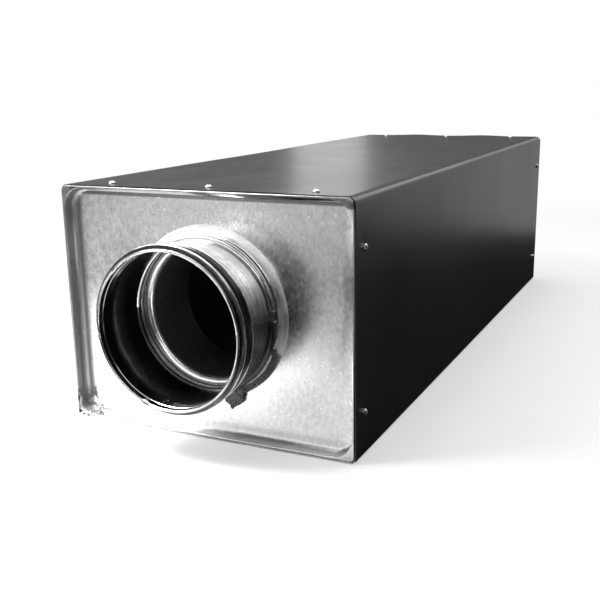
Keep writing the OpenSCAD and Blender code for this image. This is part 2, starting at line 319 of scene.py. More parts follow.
softbox("key_softbox", place=(-1.9, -1.3, 2.1), aim=(0, -0.3, 0.1), size=1.4, power=key_power)
softbox("top_softbox", place=(-0.3, 0.3, 2.6), aim=(0, 0, 0), size=2.0, power=top_power)
pool = softbox(
    "floor_pool_lamp", place=(-0.45, -0.72, 0.9), aim=(-0.26, -0.54, 0), size=0.35, power=pool_power,
)
pool.data.spread = pool_spread

# %% [markdown]
# Gloss paint and bare metal have hardly a tone of their own: they show what stands round them. A
# photographer sets up white and black cards outside the picture for that. Here each card is a plane
# that only reflections see, given by two opposite corners and a level of light. Most have one even
# tone. The card on the floor in front of the end panel also has pools of light, as paper has under
# lamps: each is a middle, an inner and an outer reach, and a level.

# %% Cards
card_glow = 5.0


def deselect_all():
    """Leaves nothing selected, so that the next operator touches only its own piece."""
    bpy.ops.object.select_all(action="DESELECT")


def card(name, low, high, level, pools=()):
    """A flat card between two corners, which only reflections show."""
    low, high = Vector(low), Vector(high)
    span = high - low
    deselect_all()
    bpy.ops.mesh.primitive_plane_add(size=1)
    made = bpy.context.object
    made.name = name
    if span.y == 0:
        made.rotation_euler.x = math.radians(90)
        made.scale = (span.x, span.z, 1)
    elif span.x == 0:
        made.rotation_euler.y = math.radians(90)
        made.scale = (span.z, span.y, 1)
    else:
        made.scale = (span.x, span.y, 1)
    made.location = (low + high) / 2
    bpy.ops.object.transform_apply(location=True, rotation=True, scale=True)
    paint = bpy.data.materials.new(name + "_paint")
    paint.use_nodes = True
    paint.node_tree.nodes.clear()
    wire = Wire(paint.node_tree)
    tone = grey(level / card_glow)
    for middle, inner, outer, pool_level in pools:
        place = wire.node("ShaderNodeTexCoord", {}, {}, out="Object")
        ends = {0: place, 1: middle}
        far = wire.node("ShaderNodeVectorMath", {"operation": "DISTANCE"}, ends, out="Value")
        tone = blend_colours(rise(far, inner, outer), grey(pool_level / card_glow), tone)
    glow = wire.node("ShaderNodeEmission", {}, {"Color": tone, "Strength": card_glow})
    wire.node("ShaderNodeOutputMaterial", {}, {"Surface": glow})
    made.data.materials.append(paint)
    made.visible_camera = False
    made.visible_diffuse = False
    made.visible_shadow = False
    made.visible_transmission = False


near_pool = ((-0.30, -0.54, 0), 0.18, 0.46, 3.2)
right_pool = ((0.12, -0.52, 0), 0.04, 0.22, 1.1)
far_pool = ((-0.64, -1.56, 0), 0.08, 0.45, 1.8)
card("side_floor_card", (0.168, -0.5, 0), (1.8, 0.95, 0), 0.015)
card("dark_floor_card", (0.15, -1.4, 0), (0.45, -0.5, 0), 0.06)
card("right_floor_card", (0.45, -2.4, 0), (1.8, -0.5, 0), 0.25)
card("front_floor_card", (-2.6, -3.2, 0), (0.15, -0.46, 0), 0.26, (near_pool, right_pool, far_pool))
card("front_window_card", (-1.8, -2.6, 0.75), (0.2, -2.6, 1.36), 2.6)
card("upper_front_card", (-1.8, -2.6, 1.36), (0.2, -2.6, 2.3), 0.9)
card("grey_wall_card", (0.15, 0.95, 0), (1.8, 0.95, 0.6), 0.55)
card("left_back_card", (-4.5, 3.0, 0), (-1.55, 3.0, 1.8), 0.17)
card("back_gap_card", (-1.55, 3.0, 0), (-1.15, 3.0, 1.8), 1.5)
card("right_back_card", (-1.15, 3.0, 0), (0.05, 3.0, 1.8), 0.17)
card("low_window_card", (0.2, -2.4, 0.72), (0.98, -2.4, 1.28), 5.0)
card("camera_side_card", (-0.2, -2.4, 0), (1.8, -2.4, 0.72), 0.03)
card("camera_right_card", (0.98, -2.4, 0.72), (1.8, -2.4, 1.28), 0.03)
card("camera_top_card", (0.2, -2.4, 1.28), (1.8, -2.4, 2.2), 0.03)
card("right_side_card", (1.8, -2.4, 0), (1.8, 0.95, 1.6), 0.03)

# %% [markdown]
# ## The finishes
# Galvanised sheet is zinc on steel: a light metal with fine lines from rolling, soft clouds, a faint
# spangle of crystals a few millimetres wide, and small bright flecks where it has been rubbed. On the
# spigot the lines run round it, so its pattern is laid out over the way round, the distance along and
# the radius instead of X, Y and Z. A size below says how often a part of the pattern changes in a
# metre, and the values after it how much it changes the tone and the dullness.

# %% The pattern of zinc
zinc_dark = 0.40
zinc_light = 0.90
line_tone = 0.4
line_relief = 0.2
line_depth = 0.08 * MM
cloud_size = 16
cloud_tone = 0.6
cloud_dull = 0.14
spangle_mm = 4.0
spangle_long = 0.7
spangle_tone = 0.55
spangle_dull = 0.12
grain_size = 620
grain_tone = 0.45
fleck_size = (380, 380, 260)
fleck_range = (0.68, 0.78)
fleck_tone = 0.5
fleck_polish = 0.08


def new_material(name):
    """A material with a Principled shader, and its place in Object coordinates."""
    made = bpy.data.materials.new(name)
    made.use_nodes = True
    wire = Wire(made.node_tree)
    place = wire.node("ShaderNodeTexCoord", {}, {}, out="Object")
    return made, made.node_tree.nodes["Principled BSDF"], place


def plug(shader, **values):
    """Links wires to the sockets of a shader. Underscores in the names stand for spaces."""
    for name, value in values.items():
        socket = shader.inputs[name.replace("_", " ")]
        if isinstance(value, Wire):
            value.tree.links.new(value.socket, socket)
        else:
            socket.default_value = value


def zinc_pattern(place, lines):
    """Tone, dullness and rolling lines of zinc sheet. The lines are stretched along the sheet."""
    crystal = 1 / (spangle_mm * MM)
    rolled = noise(place, lines, 4.0)
    cloud = noise(place, cloud_size, 3.0)
    spangle = noise(place, (crystal, crystal, spangle_long * crystal), 1.0)
    grain = noise(place, grain_size, 2.0)
    fleck = rise(noise(place, fleck_size, 1.0), *fleck_range)
    tone = 0.5 + swing(rolled, line_tone) + swing(cloud, cloud_tone) + swing(spangle, spangle_tone)
    tone = tone + swing(grain, grain_tone) + fleck * fleck_tone
    dull = swing(cloud, cloud_dull) + swing(spangle, spangle_dull) - fleck * fleck_polish
    return tone, dull, rolled


def zinc_colour(tone):
    """The colour of clean zinc of that tone."""
    return blend_colours(tone, grey(zinc_dark), grey(zinc_light))


def zinc_shader(shader, colour, roughness, rolled):
    """Plugs a metal into a shader, with a fine relief of the rolling lines."""
    plug(shader, Base_Color=colour, Metallic=1.0, Roughness=roughness)
    plug(shader, Normal=relief(rolled, line_relief, line_depth))


print("zinc pattern ready")

# %% [markdown]
# The press that drew the end panel has left its marks. The rim is polished at the right and at the
# top. Painted shade darkens the wall at the left, which has fine upright lines, and the upper edge of
# the top rim. The lower rim is dull from the right up to the crumpled corner. All distances are in
# metres.

# %% Galvanised sheet
sheet_lines = (1000, 1000, 60)
sheet_rough = 0.26
rim_w = 0.021
rim_fade = 0.006
rim_top = 0.6
rim_polish = 0.11
band_from = 0.1530
band_full = 0.1560
band_low = 0.006
band_dull = 0.20
left_wall_shade_share = 0.66
band_lines = (1300, 1300, 9)
band_swing = 0.5
top_from = 0.0125
top_fade = 0.002
top_rim_shade_share = 0.72
lower_from = 0.017
lower_fade = 0.004
lower_dull = 0.16
crumple_end = -0.135
crumple_fade = 0.02
panel_shade_tone = 0.05


def galvanised(name, roughness):
    """Zinc coated sheet with straight rolling lines, the marks of the press, and painted shade on the
    left wall and the top rim.
    """
    made, shader, place = new_material(name)
    tone, dull, rolled = zinc_pattern(place, sheet_lines)
    across, _, height = axes(place)
    half_w = casing_w / 2
    half_h = casing_h / 2
    height = height - half_h
    beside = beyond(across, half_w - rim_w, rim_fade)
    above = beyond(height, half_h - rim_top * rim_w, rim_fade)
    rim = most(beside, above)
    # painted shade: the wall at the left is darkened, with fine upright lines
    band = rise(across * -1, band_from, band_full) * beyond(height, band_low - half_h, rim_fade)
    # painted shade along the upper edge of the top rim
    upper = beyond(height, half_h - top_from, top_fade) * top_rim_shade_share
    lower = beyond(height * -1, half_h - lower_from, lower_fade) * lower_dull
    lower = lower * beyond(across, crumple_end, crumple_fade)
    drawn = noise(place, band_lines, 2.0)
    painted_shading = most(band * (left_wall_shade_share + swing(drawn, band_swing)), upper)
    colour = blend_colours(painted_shading, zinc_colour(tone), grey(panel_shade_tone))
    roughness = roughness + dull - rim * rim_polish + band * band_dull + lower
    zinc_shader(shader, colour, roughness, rolled)
    return made


panel_zinc = galvanised("galvanised_sheet", sheet_rough)
print("galvanised sheet")

# %% [markdown]
# The spigot has been handled and sealed before, and shows it. The front of the hem is painted darker.
# Painted shade darkens the slope in front of the second ridge, the creases beside ridge and bead, and
# the inside near the back. The wall has dull streaks and mottles, and painted shade darkens its lower
# half. The flange is pale and dull, with painted shade at the lower right. Each mark is a band between
# two distances in mm behind the front edge, and noise frays its edges.

# %% Spigot
spigot_lines = (26, 1500, 1500)
spigot_rough = 0.16
skin_range = (spigot_mm - 0.5, spigot_mm - 0.3)
fray_size = (60, 240, 240)
fray_mm = 1.2
fray_turn = 0.5
stain_and_shade_tone = 0.03
stain_and_shade_dull = 0.12
shade_band_edge = 0.5
# painted shade in the creases beside ridges and bead and on the slope before the second ridge
painted_shade_bands = (
    (4.0, 5.1, 0.96), (8.4, 22.6, 0.93), (25.0, 28.6, 0.7), (66.0, 67.2, 0.5), (74.4, 80.3, 0.88),
)
hem_band = (0.2, 4.4)
hem_edge = 0.3
hem_dark_from_mm = 77.4
hem_fade = 0.5
hem_share = 0.66
inner_band = (67.5, 80.5)
inner_share = 0.55
# painted shade on the lower half of the wall
wall_shade_band = (28.0, 80.3)
wall_shade_edge = 1.5
wall_shade_start = math.radians(33)
wall_shade_full = math.radians(0)
wall_shade_share = 0.95
wall_band = (29, 65)
wall_edge = 1.0
dull_from = 36
dull_full = 54
dull_share = 0.3
streak_size = (9, 330, 330)
streak_mm = 34
streak_range = (0.50, 0.66)
streak_share = 0.6
mottle_size = (150, 520, 520)
mottle_range = (0.50, 0.62)
mottle_share = 0.45
gap_start = 0.75
gap_end = 9.0
gap_edge = 0.01
gap_band = (60.0, 76.0)
gap_fade = 3.0
gap_share = 0.9
flange_range = (80.2, 80.9)
flange_end = (90, 95)
flange_dull = 0.34
flange_tone = 0.8
# painted shade on the flange at the lower right
shade_start = math.radians(-8)
shade_full = math.radians(-34)
shade_end = (1.1, 1.3)
shade_share = 0.8


def round_the_spigot(place):
    """The place as angle about the spigot axis, distance along it and distance from it."""
    across, along, height = axes(place)
    height = height - spigot_z
    square = across * across + height * height
    return across.maths("ARCTAN2", height, across), along, square.maths("POWER", square, 0.5)


def unrolled(angle, along, radius):
    """The place on the sheet as if it lay flat."""
    return angle.node("ShaderNodeCombineXYZ", {}, {0: angle * (spigot_mm * MM), 1: along, 2: radius})


def rolled_spigot(name, roughness):
    """Zinc sheet rolled round the spigot axis, with streaks, a darker hem front and painted shade."""
    made, shader, place = new_material(name)
    angle, along, radius = round_the_spigot(place)
    around = unrolled(angle, along, radius)
    tone, dull, rolled = zinc_pattern(around, spigot_lines)
    fray = noise(around, fray_size, 3.0)
    back = (along - edge_y) * (1 / MM) + swing(fray, fray_mm)
    frayed = angle + swing(fray, fray_turn)
    mm_out = radius * (1 / MM)
    outside = rise(mm_out, *skin_range)

    hem = between(back, *hem_band, hem_edge) * beyond(mm_out, hem_dark_from_mm, hem_fade) * hem_share
    # painted shade in the creases beside ridges and bead and on the slope before the second ridge
    shade_bands = [between(back, low, high, shade_band_edge) * outside * share for low, high, share in painted_shade_bands]
    # painted shade deep inside the spigot, near its back
    inner = between(back, *inner_band, shade_band_edge) * (1 - outside) * inner_share
    # painted shade: the lower half of the wall is darkened
    wall_shade = between(back, *wall_shade_band, wall_shade_edge) * rise(frayed, wall_shade_start, wall_shade_full)
    wall_shade = wall_shade * outside * wall_shade_share

    streak = noise(around, streak_size, 4.0)
    faded = rise(back + swing(streak, streak_mm), dull_from, dull_full) * dull_share
    streaks = rise(streak, *streak_range) * streak_share
    mottle = rise(noise(around, mottle_size, 4.0), *mottle_range) * mottle_share
    wall = most(faded, streaks, mottle) * between(back, *wall_band, wall_edge) * outside

    gap = between(angle, math.radians(gap_start), math.radians(gap_end), gap_edge)
    gap = gap * between(back, *gap_band, gap_fade) * outside * gap_share
    flange = rise(back, *flange_range) * (1 - rise(back, *flange_end)) * outside
    # painted shade: the flange darkens towards the lower right
    shaded = flange * rise(frayed, shade_start, shade_full)
    shaded = shaded * (1 - rise(-1 * angle, *shade_end)) * shade_share

    stain_and_shade = most(hem, *shade_bands, wall_shade, wall, gap, inner, shaded)
    clean = zinc_colour(tone + flange * flange_tone)
    roughness = roughness + dull + stain_and_shade * stain_and_shade_dull + flange * flange_dull
    zinc_shader(shader, blend_colours(stain_and_shade, clean, grey(stain_and_shade_tone)), roughness, rolled)
    return made


spigot_zinc = rolled_spigot("rolled_galvanised_sheet", spigot_rough)
print("spigot")

# %% [markdown]
# The sleeve in the throat is of the same sheet. It is bright only at its mouth. Painted shade darkens the
# outer edge of the mouth, and from a few mm further in painted shade makes it dark, dull and not metal.

# %% Sleeve
sleeve_rough = 0.20
throat_shade_tone = 0.035
throat_shade_dull = 0.35
throat_shade_from = 1.8
throat_shade_full = 6.0
edge_shade_from_mm = 75.0
edge_fade = 0.8
edge_shade_share = 0.6
edge_shade_tone = 0.05


def throat_shaded_sleeve(name, roughness):
    """Zinc at the mouth of the throat, and painted shade further in that is dark, dull and not metal, on
    both ends.
    """
    made, shader, place = new_material(name)
    angle, along, radius = round_the_spigot(place)
    tone, dull, rolled = zinc_pattern(unrolled(angle, along, radius), spigot_lines)
    depth = (-field_y - along.maths("ABSOLUTE", along)) * (1 / MM)
    # painted shade: dark, dull and not metal from a few mm behind the mouth
    throat_shade = rise(depth, throat_shade_from, throat_shade_full)
    # painted shade at the outer edge of the mouth, where it meets the spigot
    mouth_edge_shade = beyond(radius * (1 / MM), edge_shade_from_mm, edge_fade) * edge_shade_share
    mouth_colour = blend_colours(mouth_edge_shade, zinc_colour(tone), grey(edge_shade_tone))
    colour = blend_colours(throat_shade, mouth_colour, grey(throat_shade_tone))
    zinc_shader(shader, colour, roughness + dull + throat_shade * throat_shade_dull, rolled)
    plug(shader, Metallic=1 - throat_shade)
    return made


sleeve_zinc = throat_shaded_sleeve("throat_shaded_sleeve", sleeve_rough)
print("sleeve")

# %% [markdown]
# The cover is sprayed with a dark semi-gloss paint. Its skin is never quite level, which breaks up
# reflections. Along both folds a paler line is painted as a highlight. A thin film of dust lies on the
# top, and specks of dust have settled near the front edge.

# %% Paint
paint_dark = 0.007
paint_light = 0.014
paint_rough = 0.24
paint_relief = 0.25
paint_depth = 0.06 * MM
peel_size = 520
peel_high = 1.4
wave_size = (34, 20, 34)
wave_high = 4
haze_size = 9
haze_rough = 0.1
spray_size = (1300, 500, 1300)
spray_tone = 1.6
spray_rough = 0.05
dust_size = 650
dust_range = (0.70, 0.76)
dust_tone = 0.10
dust_rough = 0.3
dust_from = -0.36
dust_to = -0.45
fold_r = 0.008
fold_base = casing_w / 2 + casing_h - 2 * fold_r
fold_from = fold_base + 1.35 * fold_r
fold_full = fold_base + 1.41 * fold_r
fold_fray = 0.0012
fold_highlight_tone = 0.16
fold_highlight_share = 0.9
fold_polish = 0.08
film_size = (60, 26, 60)
film_range = (0.40, 0.66)
film_height = (casing_h - 0.004, casing_h - 0.002)
film_spray = 1.6
film_tone = 0.028


def sprayed_paint(name):
    """Dark paint with painted highlights along the folds, a film of dust on top and specks of dust near
    the front.
    """
    made, shader, place = new_material(name)
    across, along, height = axes(place)
    peel = noise(place, peel_size, 2.0)
    wave = noise(place, wave_size, 2.0)
    haze = noise(place, haze_size, 3.0)
    spray = noise(place, spray_size, 3.0)
    round_fold = across.maths("ABSOLUTE", across) + height + swing(spray, fold_fray)
    # painted highlight: a paler line along both folds
    fold = rise(round_fold, fold_from, fold_full)
    dust = rise(noise(place, dust_size, 2.0), *dust_range) * rise(along, dust_from, dust_to)
    film = rise(noise(place, film_size, 5.0), *film_range) * rise(height, *film_height)
    sprayed = blend_colours(haze + swing(spray, spray_tone), grey(paint_dark), grey(paint_light))
    filmed = blend_colours(film * (spray * film_spray), sprayed, grey(film_tone))
    painted_shading = blend_colours(fold * fold_highlight_share, filmed, grey(fold_highlight_tone))
    roughness = paint_rough + haze * haze_rough + spray * spray_rough
    roughness = roughness + dust * dust_rough - fold * fold_polish
    plug(shader, Base_Color=blend_colours(dust, painted_shading, grey(dust_tone)), Roughness=roughness)
    plug(shader, Normal=relief(peel * peel_high + wave * wave_high, paint_relief, paint_depth))
    return made


cover_paint = sprayed_paint("dark_sprayed_paint")
print("paint")

# %% [markdown]
# The screws are bright zinc, the seal is matt black rubber, the loose sealing strip is a greyer
# rubber, and the lining is black fleece.

# %% Zinc plate, rubber and fleece
plate_size = 700
plate_tones = (grey(0.75), grey(1.0))
plate_rough = 0.12
plate_swing = 0.2
rubber_size = 900
rubber_relief = 0.3
rubber_depth = 0.1 * MM
rubber_swing = 0.2
rubber_shine = 0.2
bloom_size = 70
bloom_dark = 0.5
bloom_light = 1.5
fibre_size = (1600, 260, 1600)
fibre_relief = 0.8
fibre_depth = 0.3 * MM
felt_size = 60
fleece_tones = (grey(0.004), grey(0.03))
fleece_rough = 0.8
fleece_swing = 0.2


def zinc_plate(name):
    """Bright zinc, a little uneven."""
    made, shader, place = new_material(name)
    drawn = noise(place, plate_size, 3.0)
    plug(shader, Base_Color=blend_colours(drawn, *plate_tones), Metallic=1.0)
    plug(shader, Roughness=plate_rough + drawn * plate_swing)
    return made


def black_rubber(name, tone, roughness):
    """Matt rubber with a fine grain and pale bloom."""
    made, shader, place = new_material(name)
    grain = noise(place, rubber_size, 3.0)
    bloom = noise(place, bloom_size, 2.0)
    plug(shader, Base_Color=blend_colours(bloom, grey(bloom_dark * tone), grey(bloom_light * tone)))
    plug(shader, Roughness=roughness + swing(grain, rubber_swing), Specular_IOR_Level=rubber_shine)
    plug(shader, Normal=relief(grain, rubber_relief, rubber_depth))
    return made


def black_fleece(name):
    """Felted black fibres that lie mostly along the box."""
    made, shader, place = new_material(name)
    fibre = noise(place, fibre_size, 4.0)
    felt = noise(place, felt_size, 2.0)
    plug(shader, Base_Color=blend_colours(fibre * felt * 2, *fleece_tones))
    plug(shader, Roughness=fleece_rough + fibre * fleece_swing)
    plug(shader, Normal=relief(fibre, fibre_relief, fibre_depth))
    return made


screw_zinc = zinc_plate("bright_zinc_plate")
seal_black = black_rubber("seal_rubber", tone=0.006, roughness=0.75)
strip_grey = black_rubber("strip_rubber", tone=0.09, roughness=0.5)
fleece = black_fleece("black_fleece")
print("materials:", len(bpy.data.materials))

# %% [markdown]
# ## Tools for sheet metal
# Each piece is made as a person would make it by hand in edit mode. `merged_copy` takes a solid from
# the frame and welds its loose triangles. `cut_grid` slices a flat sheet so that it has vertices to
# bend. `knock` moves one vertex and lets the sheet round it follow, which is what Blender calls
# proportional editing. `spin_sheet` draws a profile vertex by vertex and spins it round the spigot.

# %% Helpers
weld = 0.01 * MM
sharp = math.radians(32)


def take_up(piece):
    """Makes a piece the only selected one."""
    deselect_all()
    piece.select_set(True)
    bpy.context.view_layer.objects.active = piece


def edit_all(piece):
    """Goes into edit mode with the whole of a piece selected."""
    take_up(piece)
    bpy.ops.object.mode_set(mode="EDIT")
    bpy.ops.mesh.select_all(action="SELECT")


def shade(piece, angle=sharp):
    """Shades a piece smooth, apart from folds sharper than an angle."""
    take_up(piece)
    bpy.ops.object.shade_smooth_by_angle(angle=angle)


def settle(piece):
    """Welds a piece, turns its faces outwards and shades its curves smooth."""
    edit_all(piece)
    bpy.ops.mesh.remove_doubles(threshold=weld)
    bpy.ops.mesh.normals_make_consistent(inside=False)
    bpy.ops.object.mode_set(mode="OBJECT")
    shade(piece)


def join(parts, name):
    """Joins pieces into the first one and names it."""
    take_up(parts[0])
    for part in parts[1:]:
        part.select_set(True)
    bpy.ops.object.join()
    parts[0].name = name
    return parts[0]


def merged_copy(node, name):
    """A welded copy of a solid of the frame."""
    piece = bpy.data.objects.new(name, frame["nodes"][node].data.copy())
    bpy.context.scene.collection.objects.link(piece)
    take_up(piece)
    bpy.ops.mesh.customdata_custom_splitnormals_clear()
    settle(piece)
    return piece


def cut_grid(piece, axis, places):
    """Cuts right through a piece with planes at those places along one axis."""
    normal = Vector((axis == 0, axis == 1, axis == 2))
    take_up(piece)
    bpy.ops.object.mode_set(mode="EDIT")
    for place in places:
        bpy.ops.mesh.select_all(action="SELECT")
        bpy.ops.mesh.bisect(plane_co=normal * place, plane_no=normal)
    bpy.ops.object.mode_set(mode="OBJECT")


def steps(low, high, pitch):
    """Places from low to high, a pitch apart."""
    return [low + pitch * i for i in range(int((high - low) / pitch + 1.5))]


def pick(piece, test):
    """Goes into edit mode with those vertices selected whose place passes a test."""
    take_up(piece)
    bpy.ops.object.mode_set(mode="EDIT")
    bpy.ops.mesh.select_mode(type="VERT")
    bpy.ops.mesh.select_all(action="DESELECT")
    bpy.ops.object.mode_set(mode="OBJECT")
    for vertex in piece.data.vertices:
        vertex.select = test(vertex.co)
    bpy.ops.object.mode_set(mode="EDIT")


def knock(piece, place, move, reach):
    """Moves the vertex nearest to a place and draws the sheet within a reach along. All in mm."""
    place = Vector(place) * MM
    struck = min((v.co for v in piece.data.vertices), key=lambda co: (co - place).length).copy()
    pick(piece, lambda co: (co - struck).length < weld)
    bpy.ops.transform.translate(
        value=Vector(move) * MM, use_proportional_edit=True,
        proportional_edit_falloff="SMOOTH", proportional_size=reach * MM,
    )
    bpy.ops.object.mode_set(mode="OBJECT")


def dress(piece, finish, node=None):
    """Gives a piece its finish, hangs it under the root body, and hides the solid of the frame that it
    stands for.
    """
    piece.data.materials.clear()
    piece.data.materials.append(finish)
    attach(piece, "root")
    if node:
        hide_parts(node)
    print(f"{piece.name}: {len(piece.data.polygons)} faces")


def turned_copy(piece, name):
    """A copy of a front piece, turned half round for the rear end."""
    take_up(piece)
    bpy.ops.object.duplicate()
    copy = bpy.context.object
    copy.name = name
    edit_all(copy)
    bpy.ops.transform.rotate(value=math.pi, orient_axis="Z", center_override=(0, 0, 0))
    bpy.ops.object.mode_set(mode="OBJECT")
    return copy


def draw_line(points):
    """Draws a chain of vertices through points, from a plane that is merged to one vertex."""
    bpy.ops.mesh.primitive_plane_add(size=MM)
    bpy.ops.object.mode_set(mode="EDIT")
    bpy.ops.mesh.select_mode(type="VERT")
    bpy.ops.mesh.select_all(action="SELECT")
    bpy.ops.mesh.merge(type="CENTER")
    bpy.ops.transform.translate(value=points[0])
    for here, there in zip(points, points[1:]):
        bpy.ops.mesh.extrude_vertices_move(TRANSFORM_OT_translate={"value": there - here})


def on_ring(radius, back, angle):
    """A place at the front spigot: radius and distance behind its edge in mm, angle from X to Z."""
    turn = math.radians(angle)
    return Vector((
        radius * math.cos(turn) * MM,
        edge_y + back * MM,
        spigot_z + radius * math.sin(turn) * MM,
    ))


def outward(angle):
    """The direction away from the spigot axis at an angle."""
    turn = math.radians(angle)
    return Vector((math.cos(turn), 0, math.sin(turn)))


def spin_sheet(name, profile, start, turn, count):
    """Spins a profile of radius and distance in mm round the spigot axis, over a turn in degrees."""
    deselect_all()
    draw_line([on_ring(radius, back, start) for radius, back in profile])
    piece = bpy.context.object
    piece.name = name
    axis_place = (0, 0, spigot_z)
    bpy.ops.mesh.select_all(action="SELECT")
    bpy.ops.mesh.spin(steps=count, angle=math.radians(turn), center=axis_place, axis=(0, 1, 0))
    bpy.ops.object.mode_set(mode="OBJECT")
    settle(piece)
    return piece


print("tools ready")

# %% [markdown]
# ## The painted cover
# On the real object this is one sheet, folded over the top and down both sides and screwed to the
# flanges of the end panels. A thin sheet shows it: it dips a little at each screw and lifts between
# them, most of all along the rear edge. The solid is perfectly flat, so a welded copy is sliced
# into a grid and knocked a few tenths of a millimetre out of true. From here on all sizes are in mm,
# apart from the places of cuts, which are in metres.

# %% Cover
top_screws_x = (-118, 0, 118)
side_screws_z = (46, 210)
screw_y = 426
cover_top = casing_h / MM
cover_side = casing_w / MM / 2
cover_end = 448
screw_dip = 0.35
screw_reach = 26
edge_lift = 0.5
edge_reach = 40
rear_lift = 1.3
rear_reach = 52
between_screws_x = (-59, 59)
cover_cuts = (steps(-0.15, 0.15, 0.0125), steps(-0.44, 0.44, 0.02), steps(0.02, 0.24, 0.02))
cover_bulges = (
    ((-70, 0, cover_top), (0, 0, -0.8), 220),
    ((cover_side, -120, 150), (0.5, 0, 0), 150),
)

cover = merged_copy("casing_cover", "painted_cover")
for axis, places in enumerate(cover_cuts):
    cut_grid(cover, axis, places)
for x in top_screws_x:
    for y in (-screw_y, screw_y):
        knock(cover, (x, y, cover_top), (0, 0, -screw_dip), screw_reach)
for z in side_screws_z:
    for side in (-1, 1):
        for y in (-screw_y, screw_y):
            knock(cover, (side * cover_side, y, z), (-side * screw_dip, 0, 0), screw_reach)
for x in between_screws_x:
    knock(cover, (x, -cover_end, cover_top), (0, 0, edge_lift), edge_reach)
    knock(cover, (x, cover_end, cover_top), (0, 0, rear_lift), rear_reach)
for place, move, reach in cover_bulges:
    knock(cover, place, move, reach)
shade(cover)
dress(cover, cover_paint, "casing_cover")

# %% [markdown]
# ## The base tray
# Only the front edge of the tray shows, as a thin strip under the panel. It was sheared, so its
# edge wanders a little.

# %% Base tray
tray_cuts = steps(-0.15, 0.15, 0.02)
tray_front = -450
tray_t = 1.5
tray_lifts = ((-140, 0.3), (-60, 0), (40, 0.25), (120, 0))
tray_push = 0.2
tray_reach = 30

tray = merged_copy("casing_base", "base_tray")
cut_grid(tray, 0, tray_cuts)
for x, lift in tray_lifts:
    knock(tray, (x, tray_front, tray_t), (0, tray_push, lift), tray_reach)
shade(tray)
dress(tray, panel_zinc, "casing_base")

# %% [markdown]
# ## The end panels
# A press has drawn the panel into a dish: a narrow rim runs round it, the wall drops behind the rim
# and sweeps into the flat field. The front one has been dropped on its lower left corner, which is
# crumpled. Knocks of a few millimetres fold that corner, a random move of its vertices adds the
# small facets of crushed sheet, and three wide, shallow knocks let the field bulge.

# %% End panels
crumple_x = (-169, -139)
crumple_z = (0, 31)
crumple_depth = 2
crumple_random = 0.55
crumple_seed = 4
panel_cuts_x = steps(-0.166, -0.139, 0.003) + steps(-0.12, 0.15, 0.03)
panel_cuts_z = steps(0.003, 0.033, 0.003) + steps(0.05, 0.24, 0.03)
corner_knocks = (
    ((-166, -446, 21), (2.4, 1.2, 0.0), 9),
    ((-163, -449, 4), (1.2, 2.6, 1.6), 8),
    ((-156, -440, 17), (-0.6, -3.2, 0.6), 7),
    ((-150, -436, 11), (0.4, -2.6, 0.8), 6),
    ((-158, -441, 26), (0.8, 2.0, -0.8), 6),
    ((-147, -436, 22), (0.0, -2.2, 0.4), 6),
    ((-154, -449, 2), (0.0, 2.2, 1.2), 5),
    ((-143, -437, 8), (0.3, -1.6, 0.4), 5),
)
field_bulges = (
    ((-120, -435, 215), (0, 0.5, 0), 70),
    ((130, -435, 90), (0, -0.5, 0), 80),
    ((110, -435, 225), (0, 0.4, 0), 60),
)

front_panel = merged_copy("front_end_panel", "front_panel")
rear_panel = turned_copy(front_panel, "rear_panel")
dress(rear_panel, panel_zinc, "rear_end_panel")

cut_grid(front_panel, 0, panel_cuts_x)
cut_grid(front_panel, 2, panel_cuts_z)
for place, move, reach in corner_knocks:
    knock(front_panel, place, move, reach)
pick(front_panel, lambda co: (
    crumple_x[0] < co.x / MM < crumple_x[1]
    and crumple_z[0] < co.z / MM < crumple_z[1]
    and co.y < field_y + crumple_depth * MM
))
bpy.ops.transform.vertex_random(offset=crumple_random * MM, uniform=1.0, seed=crumple_seed)
bpy.ops.object.mode_set(mode="OBJECT")
for place, move, reach in field_bulges:
    knock(front_panel, place, move, reach)
shade(front_panel)
dress(front_panel, panel_zinc, "front_end_panel")

# %% [markdown]
# ## The spigots
# A spigot is rolled from one strip of sheet. From the front come a hem, a narrow ridge, the seat of
# the seal, a wide second ridge, the straight wall that the duct slides over, the stop bead and the
# flange. The profile goes back along the outer skin and comes forward along the inner one. Its points
# are a radius and a distance behind the front edge.

# %% Profile of the spigot
skin_t = 0.8
hem_r = 1.6
hem_l = 5.6
hem_rise = 1.4
ridge_at = 4.6
ridge_r = 2.0
ridge_h = 5.4
seat_w = 10.0
back_ridge_r = 5.0
back_ridge_h = 3.9
crest_r = 1.1
crest_start = -50
crest_end = 65
heel_h = 0.5
heel_l = 1.2
step_points = ((-0.6, 0), (-1.0, 0.5), (-1.0, 1.5))
hollow_front = 0.4
hollow_back = 0.2
bead_at = 70.45
bead_w = 8.5
bead_h = 4.0
fillet_r = 3.0
bend_steps = 9

hem_out = spigot_mm + hem_rise
seat_at = ridge_at + 2 * ridge_r
seat_end = seat_at + seat_w
back_half = math.sqrt(back_ridge_r ** 2 - (back_ridge_r - back_ridge_h) ** 2)
back_ridge_at = seat_end + back_half
back_end = back_ridge_at + back_half


def bend(radius_at, back_at, radius, start, end):
    """Points of a bend about a place in the profile, from one angle to another."""
    points = []
    for i in range(bend_steps + 1):
        turn = math.radians(start + (end - start) * i / bend_steps)
        points.append((radius_at + radius * math.cos(turn), back_at + radius * math.sin(turn)))
    return points


def front_ridge():
    """Points over the first ridge, from the hem to the seat of the seal."""
    crest = bend(spigot_mm + ridge_h - ridge_r, ridge_at + ridge_r, ridge_r, -90, 90)
    return [(hem_out, ridge_at)] + crest + [(spigot_mm, seat_at)]


